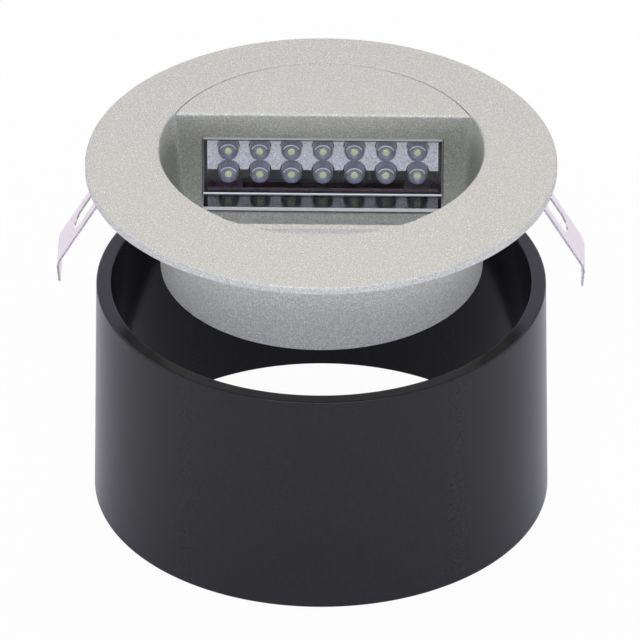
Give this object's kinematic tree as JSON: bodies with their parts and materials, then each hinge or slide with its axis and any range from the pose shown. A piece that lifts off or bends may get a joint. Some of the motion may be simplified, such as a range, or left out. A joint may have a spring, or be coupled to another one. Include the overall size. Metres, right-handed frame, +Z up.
{
  "type": "recessed outdoor light",
  "caption": "Round recessed light for outdoor walls and floors: die-cast face with a hooded pocket, LEDs behind a clear cover, spring clips and a tapered mounting sleeve.",
  "frame": {"origin": "centre of the mounting sleeve's lower end, on the surface that it stands on", "axes": "+Z up along the sleeve's and the flange's axis, +X to the right clip, +Y to the hooded side"},
  "size_m": [0.1268, 0.113, 0.0918],
  "materials": {
    "powder_coat": "fine-textured silver-grey powder coat on die-cast aluminium",
    "sleeve_plastic": "semi-gloss black moulded plastic",
    "clear_plastic": "clear polycarbonate sheet",
    "led_resin": "water-clear epoxy over a yellow phosphor chip",
    "holder_plastic": "fine-textured grey moulded plastic",
    "led_board_laminate": "dark red-brown solder mask on laminate",
    "driver_board_laminate": "brown solder mask on laminate",
    "capacitor_film": "grey potting box",
    "capacitor_sleeve": "black shrink sleeve",
    "rectifier_resin": "black moulding resin",
    "resistor_enamel": "grey enamel",
    "terminal_plastic": "black moulded plastic",
    "plated_steel": "zinc-plated steel",
    "clip_steel": "bright stainless spring strip",
    "seal_rubber": "black silicone rubber",
    "gland_plastic": "black moulded nylon"
  },
  "bodies": {
    "sleeve": {"mounting_sleeve": "sleeve_plastic"},
    "light": {"face_casting": "powder_coat", "hood": "powder_coat", "back_cover": "powder_coat", "window_cover": "clear_plastic", "window_gasket": "seal_rubber", "cover_gasket": "seal_rubber", "flange_gasket": "seal_rubber", "led_holder": "holder_plastic", "holder_screw_left": "plated_steel", "holder_screw_right": "plated_steel", "led_01": "led_resin", "led_02": "led_resin", "led_03": "led_resin", "led_04": "led_resin", "led_05": "led_resin", "led_06": "led_resin", "led_07": "led_resin", "led_08": "led_resin", "led_09": "led_resin", "led_10": "led_resin", "led_11": "led_resin", "led_12": "led_resin", "led_13": "led_resin", "led_14": "led_resin", "led_board": "led_board_laminate", "driver_board": "driver_board_laminate", "board_screw_left": "plated_steel", "board_screw_right": "plated_steel", "film_capacitor": "capacitor_film", "smoothing_capacitor": "capacitor_sleeve", "bridge_rectifier": "rectifier_resin", "dropper_resistor": "resistor_enamel", "terminal_block": "terminal_plastic", "cover_screw_1": "plated_steel", "cover_screw_2": "plated_steel", "cover_screw_3": "plated_steel", "cover_screw_4": "plated_steel", "gland_body": "gland_plastic", "gland_nut": "gland_plastic", "gland_cap": "gland_plastic", "gland_seal": "seal_rubber", "clip_base_left": "clip_steel", "clip_base_right": "clip_steel", "clip_rivet_left": "plated_steel", "clip_rivet_right": "plated_steel"},
    "clip_left": {"clip_leg_left": "clip_steel"},
    "clip_right": {"clip_leg_right": "clip_steel"}
  },
  "joints": [
    {"name": "lift", "type": "slide", "parent": "sleeve", "child": "light", "axis": [0, 0, 1], "range_m": [-0.0304, 0], "deforming": ["clip_leg_left", "clip_leg_right"]},
    {"name": "clip_left_flex", "type": "hinge", "parent": "light", "child": "clip_left", "pos_m": [-0.04997, 0, 0.0882], "axis": [0, -1, 0], "range_deg": [0, 33], "stiffness_Nm_per_rad": 0.3},
    {"name": "clip_right_flex", "type": "hinge", "parent": "light", "child": "clip_right", "pos_m": [0.04997, 0, 0.0882], "axis": [0, 1, 0], "range_deg": [0, 33], "stiffness_Nm_per_rad": 0.3}
  ]
}
